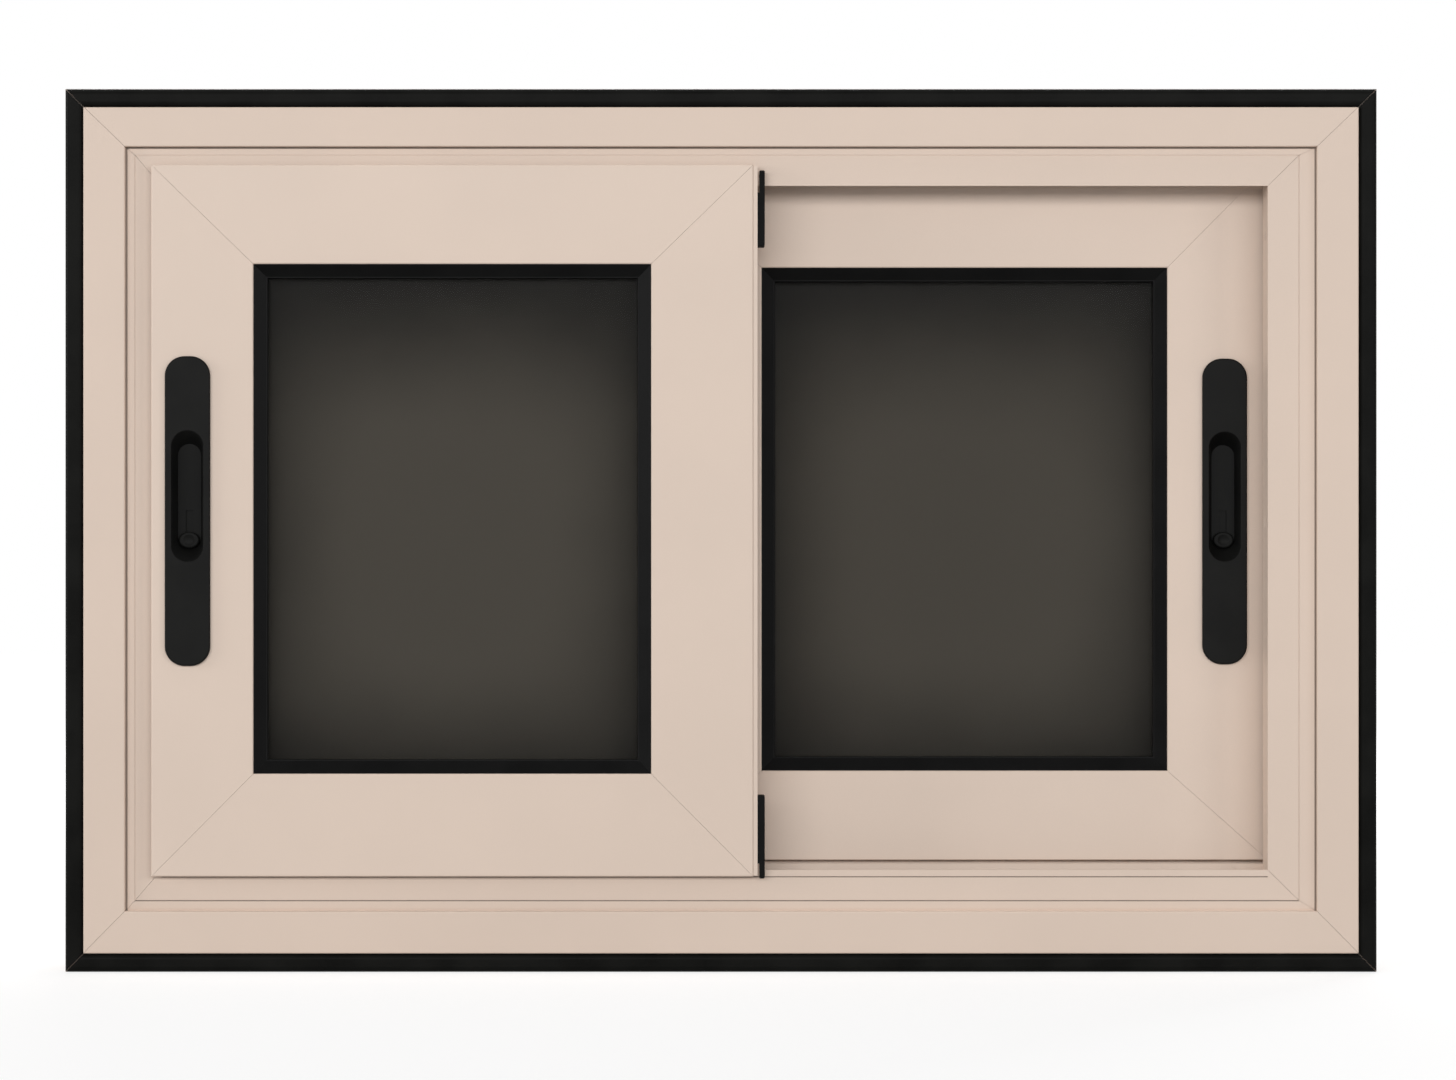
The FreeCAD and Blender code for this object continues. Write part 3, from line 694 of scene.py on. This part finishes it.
class PaintSettings(PropertyGroup):
    """The window's colours and gloss."""

    frame_colour: colour_property("Frame", (0.853, 0.776, 0.716), "Colour of the fixed frame")
    sash_colour: colour_property("Sashes", (0.862, 0.787, 0.728), "Colour of both sashes")
    paint_roughness: share_property("Paint roughness", 0.46, "Roughness of the powder coat")
    # Line shade sets how dark the painted shade in the frame's deep face lines is.
    line_shade: share_property("Line shade", 0.46, "How dark dust leaves the frame's deep face lines")
    trim_colour: colour_property("Edge trims", (0.085, 0.085, 0.08), "Colour of the black edge trims")
    bead_colour: colour_property("Beads", (0.05, 0.05, 0.05), "Colour of the glazing beads")
    pull_colour: colour_property("Pulls", (0.08, 0.08, 0.077), "Colour of the flush pulls and buttons")
    rubber_colour: colour_property("Rubber", (0.06, 0.06, 0.06), "Colour of buffers and gaskets")
    pile_colour: colour_property("Pile", (0.17, 0.17, 0.165), "Colour of the brush pile")
    steel_colour: colour_property("Track", (0.74, 0.74, 0.73), "Colour of the track rails")
    zinc_colour: colour_property("Zinc", (0.66, 0.67, 0.68), "Colour of the roller carriages")
    wheel_colour: colour_property("Wheels", (0.42, 0.42, 0.41), "Colour of the roller wheels")


class GlassSettings(PropertyGroup):
    """The tinted panes and their gaskets."""

    # The outer panes run from the middle colour to the edge colour as painted shade; the room panes take
    # the edge colour all over.
    middle_colour: colour_property("Middle", (0.362, 0.344, 0.314), "Tint at the middle of a pane")
    edge_colour: colour_property("Edge", (0.13, 0.126, 0.118), "Tint at the corners of a pane")
    bead_width: length_property("Bead width", 0.0087, "How far a bead covers the glass")
    gasket_reach: length_property("Gasket reach", 0.0008, "How far a gasket lies on the glass")
    gasket_height: length_property("Gasket height", 0.0026, "How high a gasket stands at its bead")


class SealSettings(PropertyGroup):
    """The brush at the meeting stiles and the pile in the tracks."""

    pitch: length_property("Tuft pitch", 0.0019, "Distance between tufts")
    lean: FloatProperty(
        name="Lean", description="How far a tuft leans at most", default=0.1, subtype="ANGLE", min=0.0
    )
    track_gap: length_property("Gap to sash", 0.0005, "What the track pile leaves free before a sash")
    track_width: length_property("Pile width", 0.0048, "Width of the pile strips in the tracks")
    seed: IntProperty(name="Seed", description="Seed of the tufts' lean and length", default=11)


class FixingSettings(PropertyGroup):
    """Screws in the jamb liners and covers over the sill's weep slots."""

    screw_radius: length_property("Screw radius", 0.0034, "Radius of a screw head")
    screw_proud: length_property("Screw height", 0.0002, "How far a head stands proud")
    screw_count: IntProperty(name="Screws", description="Screws in each jamb liner", default=3, min=2)
    screw_margin: length_property("Screw margin", 0.06, "Distance of the end screws from a liner's ends")
    cover_width: length_property("Cover width", 0.036, "Width of a drain cover")
    cover_height: length_property("Cover height", 0.011, "Height of a drain cover")
    cover_proud: length_property("Cover depth", 0.0015, "How far a drain cover stands proud")
    cover_spacing: length_property("Cover spacing", 0.56, "Distance between drain covers")
    cover_foot: length_property("Cover foot", 0.016, "Height of a cover's lower edge")


class StageSettings(PropertyGroup):
    """Camera, lamps and floor."""

    camera_place: FloatVectorProperty(
        name="Camera", description="Where the camera stands", default=(0.0048, -3.2975, 0.2964),
        subtype="TRANSLATION", size=3, unit="LENGTH",
    )
    lens: FloatProperty(
        name="Lens", description="Focal length on a 36 mm sensor", default=117.55, min=1.0
    )
    front_power: power_property("Front lamp", 498.0)
    back_power: power_property("Back lamp", 100.0)
    top_power: power_property("Top lamp", 24.0)
    left_power: power_property("Left lamp", 62.0)
    right_power: power_property("Right lamp", 44.0)
    ambient: share_property("Ambient", 0.14, "Strength of the even light all round")
    floor_tone: share_property("Floor", 0.5, "How pale the floor is")
    floor_glow: share_property("Floor glow", 0.66, "What the floor adds for the camera and reflections")


# Finishing the solids


class WINDOW_OT_paint_bars(Operator):
    """Powder-coat the frame, its liners and the sashes, with painted shade in the frame's deep face
    lines
    """

    bl_idname = "window.paint_bars"
    bl_label = "Paint Frame and Sashes"

    def execute(self, context):
        settings = context.scene.window_paint
        roughness = settings.paint_roughness
        coats = {
            "frame_paint": powder_coat(
                "frame powder coat", settings.frame_colour, roughness, settings.line_shade
            ),
            "sash_paint": powder_coat("sash powder coat", settings.sash_colour, roughness),
        }
        for slot, material in coats.items():
            for node in nodes_in(slot):
                paint(node, material)
        return {"FINISHED"}


class WINDOW_OT_finish_blacks(Operator):
    """Give the trims, beads, pulls, buttons and buffers their black finishes"""

    bl_idname = "window.finish_blacks"
    bl_label = "Finish Black Parts"

    def execute(self, context):
        settings = context.scene.window_paint
        blacks = {
            "edge_trim": satin(
                "trim black", settings.trim_colour, roughness=0.3, grain=1500.0, specular=0.02
            ),
            "glazing_bead": satin(
                "bead black", settings.bead_colour, roughness=0.32, grain=1500.0, specular=0.045
            ),
            "pull_black": satin(
                "pull black", settings.pull_colour, roughness=0.42, grain=1100.0, specular=0.055
            ),
            "buffer_rubber": satin(
                "buffer rubber", settings.rubber_colour, roughness=0.6, grain=900.0, specular=0.05
            ),
            "seal_pile": pile_fibre("seal pile", settings.pile_colour),
        }
        for slot, material in blacks.items():
            for node in nodes_in(slot):
                paint(node, material)
        return {"FINISHED"}


class WINDOW_OT_finish_glass(Operator):
    """Tint the panes, with painted shade on the outer panes, and finish the spacer bars between them"""

    bl_idname = "window.finish_glass"
    bl_label = "Finish Glass"

    def execute(self, context):
        settings = context.scene.window_glass
        for sash in SASHES:
            outer = sash + "_outer_pane"
            paint(outer, tinted_pane_with_painted_shade(
                sash + " tinted glass", outer, settings.middle_colour, settings.edge_colour,
                alpha=1.0, specular=0.03,
            ))
            room = sash + "_room_pane"
            paint(room, tinted_pane_with_painted_shade(
                sash + " clear glass", room, settings.edge_colour, settings.edge_colour,
                alpha=0.12, specular=0.1,
            ))
        spacer = brushed_steel("spacer aluminium", SPACER_COLOUR, roughness=0.45, along="x")
        for node in nodes_in("spacer_bar"):
            paint(node, spacer)
        return {"FINISHED"}


class WINDOW_OT_finish_tracks(Operator):
    """Give the track rails and the rollers their metal and plastic"""

    bl_idname = "window.finish_tracks"
    bl_label = "Finish Tracks and Rollers"

    wheel_half: length_property("Wheel half width", 0.0043, "Half the width that a wheel takes")
    carriage_top: length_property("Carriage top", 0.0018, "Thickness of a carriage's top plate")

    def execute(self, context):
        settings = context.scene.window_paint
        steel = brushed_steel("track steel", settings.steel_colour, roughness=0.3, along="x")
        for node in nodes_in("track_steel"):
            paint(node, steel)
        for node in nodes_in("roller"):
            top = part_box(node)[1].z - self.carriage_top
            material = roller_metal(
                node.replace("_", " "), node, settings.zinc_colour, settings.wheel_colour,
                self.wheel_half, top,
            )
            paint(node, material)
        return {"FINISHED"}


# Pieces that the solids leave out


class WINDOW_OT_add_gaskets(Operator):
    """Add the rubber gasket between each bead and its glass"""

    bl_idname = "window.add_gaskets"
    bl_label = "Add Glass Gaskets"

    def execute(self, context):
        settings = context.scene.window_glass
        colour = context.scene.window_paint.rubber_colour
        rubber = satin("gasket rubber", colour, roughness=0.5, grain=900.0, specular=0.1)
        reach = settings.gasket_reach
        height = settings.gasket_height
        profile = [(-GASKET_TUCK, 0.0), (-GASKET_TUCK, height)]
        profile += [(reach * inwards, height * off) for inwards, off in GASKET_BENDS]
        for sash in SASHES:
            for side, towards in (("room", -1.0), ("outer", 1.0)):
                low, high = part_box(f"{sash}_{side}_bead")
                inwards = settings.bead_width
                rect = (low.x + inwards, high.x - inwards, low.z + inwards, high.z - inwards)
                pane_low, pane_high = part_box(f"{sash}_{side}_pane")
                glass_y = pane_low.y if side == "room" else pane_high.y
                name = f"{sash}_{side}_gasket"
                mesh = swept_ring(name, rect, glass_y, towards, profile)
                add_piece(name, mesh, rubber, sash + "_sash")
        return {"FINISHED"}


class WINDOW_OT_add_meeting_brush(Operator):
    """Add the brush seal between the meeting stiles in place of its solid"""

    bl_idname = "window.add_meeting_brush"
    bl_label = "Add Meeting Brush"

    backing: length_property("Backing", 0.0012, "Thickness of the brush's backing")
    rows: IntProperty(name="Rows", description="Rows of tufts", default=4, min=1)

    def execute(self, context):
        settings = context.scene.window_seal
        fibre = pile_fibre("meeting brush fibre", context.scene.window_paint.pile_colour)
        low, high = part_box("rear_meeting_seal")
        place = Matrix.Translation((
            (low.x + high.x) / 2.0, high.y, low.z,
        )) @ Matrix.Rotation(-math.pi / 2.0, 4, "Y")
        mesh = pile_tree().mesh(
            "meeting_brush", place, Length=high.z - low.z, Width=high.x - low.x,
            Reach=high.y - low.y, Backing=self.backing, Pitch=settings.pitch, Rows=self.rows,
            Lean=settings.lean, Seed=settings.seed, Material=fibre,
        )
        brush = add_piece("meeting_brush", mesh, fibre, "rear_sash")
        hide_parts("rear_meeting_seal")
        return {"FINISHED"}


class WINDOW_OT_add_track_pile(Operator):
    """Add the pile strips behind the frame's lips, one piece for each track"""

    bl_idname = "window.add_track_pile"
    bl_label = "Add Track Pile"

    backing: length_property("Backing", 0.0008, "Thickness of a strip's backing")
    rows: IntProperty(name="Rows", description="Rows of tufts", default=2, min=1)
    edge_margin: length_property("Edge margin", 0.0008, "Distance from a lip's edge to its strip")
    end_margin: length_property("End margin", 0.002, "Distance from a jamb to a strip's end")

    def execute(self, context):
        settings = context.scene.window_seal
        fibre = pile_fibre("track pile fibre", context.scene.window_paint.pile_colour)
        tree = pile_tree()
        width = settings.track_width
        lip_low, lip_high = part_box("head_front_lip")
        fin_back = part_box("head_centre_fin")[1].y
        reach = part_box("rear_top_rail")[0].y - fin_back - settings.track_gap
        head_z = lip_low.z + self.edge_margin + width / 2.0
        sill_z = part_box("front_bottom_rail")[0].z + self.edge_margin + width / 2.0
        front_run = (
            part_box("front_track_rail")[0].x + self.end_margin,
            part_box("right_jamb_cover")[0].x - self.end_margin,
        )
        rear_run = (
            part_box("left_jamb_cover")[1].x + self.end_margin,
            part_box("rear_track_rail")[1].x - self.end_margin,
        )
        strips = {
            "front_track_pile": [(*front_run, head_z, lip_high.y), (*front_run, sill_z, lip_high.y)],
            "rear_track_pile": [(*rear_run, head_z, fin_back)],
        }
        for name, runs in strips.items():
            meshes = []
            for index, (x0, x1, z, back) in enumerate(runs):
                place = Matrix.Translation((x1, back, z)) @ Matrix.Rotation(math.pi, 4, "Z")
                meshes.append(tree.mesh(
                    f"{name}_{index}", place, Length=x1 - x0, Width=width, Reach=reach,
                    Backing=self.backing, Pitch=settings.pitch, Rows=self.rows,
                    Lean=settings.lean, Seed=settings.seed + index, Material=fibre,
                ))
            add_piece(name, joined(name, meshes), fibre, "frame")
        return {"FINISHED"}


class WINDOW_OT_add_liner_screws(Operator):
    """Add the flush screws that hold the jamb liners"""

    bl_idname = "window.add_liner_screws"
    bl_label = "Add Liner Screws"

    recess: length_property("Recess", 0.00016, "Depth of a head's cross recess")

    def execute(self, context):
        settings = context.scene.window_fixing
        colour = context.scene.window_paint.frame_colour
        coat = satin("screw coat", colour, roughness=0.4, grain=900.0, specular=0.35)
        for node, towards in (("right_jamb_cover", -1.0), ("left_jamb_cover", 1.0)):
            low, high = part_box(node)
            face_x = low.x if towards < 0.0 else high.x
            span = high.z - low.z - 2.0 * settings.screw_margin
            turn = Matrix.Rotation(-math.pi / 2.0, 4, "Y")
            if towards > 0.0:
                turn = Matrix.Rotation(math.pi, 4, "Z") @ turn
            place = Matrix.Translation((
                face_x, (low.y + high.y) / 2.0, low.z + settings.screw_margin,
            )) @ turn
            name = node.replace("cover", "screws")
            head = screw_head(name, settings.screw_radius, settings.screw_proud, self.recess)
            count = settings.screw_count
            mesh = row_of(name, head, count, span / (count - 1), coat, place)
            add_piece(name, mesh, coat, "frame")
        return {"FINISHED"}


class WINDOW_OT_add_drain_covers(Operator):
    """Add the hooded covers over the weep slots on the sill's outer side"""

    bl_idname = "window.add_drain_covers"
    bl_label = "Add Drain Covers"

    slot_height: length_property("Slot", 0.0018, "Open height under a hood")
    count: IntProperty(name="Covers", description="Covers along the sill", default=2, min=2)

    def execute(self, context):
        settings = context.scene.window_fixing
        colour = context.scene.window_paint.frame_colour
        plastic = satin("drain cover plastic", colour, roughness=0.5, grain=900.0, specular=0.3)
        back_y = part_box("frame_sill")[1].y
        spacing = settings.cover_spacing
        run = spacing * (self.count - 1)
        start = Matrix.Translation((run / 2.0, back_y, settings.cover_foot))
        place = start @ Matrix.Rotation(math.pi, 4, "Z")
        cover = drain_cover(
            "drain_cover", settings.cover_width, settings.cover_height, settings.cover_proud,
            self.slot_height,
        )
        mesh = row_of("sill_drain_covers", cover, self.count, spacing, plastic, place)
        add_piece("sill_drain_covers", mesh, plastic, "frame")
        return {"FINISHED"}


# Studio


def floor_material(tone, glow):
    """A pale matt floor that takes the window's shadow and is near white in view."""
    finish = Finish("studio floor", roughness=0.9, Specular_IOR_Level=0.0)
    path = finish.node("ShaderNodeLightPath").socket.node.outputs
    seen = Value(finish, path["Is Camera Ray"])
    for ray in ("Is Glossy Ray", "Is Transmission Ray"):
        seen = finish.math("MAXIMUM", seen, Value(finish, path[ray]))
    x, y, _ = finish.axes()
    far = finish.ramp((x * x + y * y) ** 0.5, *GLOW_REACH)
    lift = glow + far * (1.0 - glow)
    finish.set(
        Base_Color=(tone, tone, tone, 1.0),
        Emission_Color=finish.mix(seen * lift, BLACK, WHITE),
        Emission_Strength=1.0,
    )
    return finish.material


def area_lamp(name, place, target, width, height, power):
    lamp = bpy.data.lights.new(name, "AREA")
    lamp.shape = "RECTANGLE"
    lamp.size = width
    lamp.size_y = height
    lamp.energy = power
    holder = bpy.data.objects.new(name, lamp)
    holder.location = place
    holder.rotation_euler = (Vector(target) - Vector(place)).to_track_quat("-Z", "Y").to_euler()
    bpy.context.scene.collection.objects.link(holder)


def white_surround(ambient):
    """Even light all round, which the camera, gloss and glass see as white."""
    world = bpy.data.worlds.new("white surround")
    world.use_nodes = True
    bpy.context.scene.world = world
    tree = world.node_tree
    tree.nodes.clear()
    path = tree.nodes.new("ShaderNodeLightPath")
    seen = path.outputs["Is Camera Ray"]
    for ray in ("Is Glossy Ray", "Is Transmission Ray"):
        either = tree.nodes.new("ShaderNodeMath")
        either.operation = "MAXIMUM"
        tree.links.new(seen, either.inputs[0])
        tree.links.new(path.outputs[ray], either.inputs[1])
        seen = either.outputs[0]
    strength = tree.nodes.new("ShaderNodeMapRange")
    strength.inputs["To Min"].default_value = ambient
    tree.links.new(seen, strength.inputs["Value"])
    background = tree.nodes.new("ShaderNodeBackground")
    background.inputs["Color"].default_value = WHITE
    tree.links.new(strength.outputs[0], background.inputs["Strength"])
    end = tree.nodes.new("ShaderNodeOutputWorld")
    tree.links.new(background.outputs[0], end.inputs["Surface"])


class WINDOW_OT_set_studio(Operator):
    """Set the floor, lamps, surround and camera"""

    bl_idname = "window.set_studio"
    bl_label = "Set Studio"

    floor_half: length_property("Floor half side", 9.0, "Half the side of the floor")

    def execute(self, context):
        settings = context.scene.window_stage
        half = self.floor_half
        work = bmesh.new()
        corners = ((-half, -half), (half, -half), (half, half), (-half, half))
        work.faces.new([work.verts.new((x, y, 0.0)) for x, y in corners])
        mesh = bpy.data.meshes.new("studio_floor")
        work.to_mesh(mesh)
        work.free()
        mesh.materials.append(floor_material(settings.floor_tone, settings.floor_glow))
        floor = bpy.data.objects.new("studio_floor", mesh)
        context.scene.collection.objects.link(floor)
        floor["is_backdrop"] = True

        low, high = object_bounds()
        middle = (low + high) / 2.0
        for side, (place, size) in LAMPS.items():
            area_lamp(side + " lamp", place, middle, *size, getattr(settings, side + "_power"))
        white_surround(settings.ambient)

        lens = bpy.data.cameras.new("photograph")
        lens.lens = settings.lens
        lens.clip_start = CLIP_START
        lens.clip_end = CLIP_END
        camera = bpy.data.objects.new("photograph", lens)
        camera.location = settings.camera_place
        camera.rotation_euler = (math.pi / 2.0, 0.0, 0.0)
        context.scene.collection.objects.link(camera)
        context.scene.camera = camera
        context.scene.view_settings.view_transform = "Standard"
        return {"FINISHED"}


OPERATORS = (
    WINDOW_OT_paint_bars,
    WINDOW_OT_finish_blacks,
    WINDOW_OT_finish_glass,
    WINDOW_OT_finish_tracks,
    WINDOW_OT_add_gaskets,
    WINDOW_OT_add_meeting_brush,
    WINDOW_OT_add_track_pile,
    WINDOW_OT_add_liner_screws,
    WINDOW_OT_add_drain_covers,
    WINDOW_OT_set_studio,
)
SETTINGS = {
    "window_paint": PaintSettings,
    "window_glass": GlassSettings,
    "window_seal": SealSettings,
    "window_fixing": FixingSettings,
    "window_stage": StageSettings,
}


class WINDOW_PT_sliding_window(Panel):
    """Lists the window's settings and the steps that dress it"""

    bl_idname = "WINDOW_PT_sliding_window"
    bl_label = "Sliding Window"
    bl_space_type = "VIEW_3D"
    bl_region_type = "UI"
    bl_category = "Window"

    def draw(self, context):
        for step in OPERATORS:
            self.layout.operator(step.bl_idname)
        for group, settings in SETTINGS.items():
            box = self.layout.box()
            for name in settings.__annotations__:
                box.prop(getattr(context.scene, group), name)


def register():
    for each in (*SETTINGS.values(), *OPERATORS, WINDOW_PT_sliding_window):
        bpy.utils.register_class(each)
    for group, settings in SETTINGS.items():
        setattr(bpy.types.Scene, group, PointerProperty(type=settings))


def unregister():
    for group in SETTINGS:
        delattr(bpy.types.Scene, group)
    for each in reversed((*SETTINGS.values(), *OPERATORS, WINDOW_PT_sliding_window)):
        bpy.utils.unregister_class(each)


def main():
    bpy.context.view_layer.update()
    register()
    for step in OPERATORS:
        category, name = step.bl_idname.split(".")
        getattr(getattr(bpy.ops, category), name)()


if __name__ == "__main__":
    main()
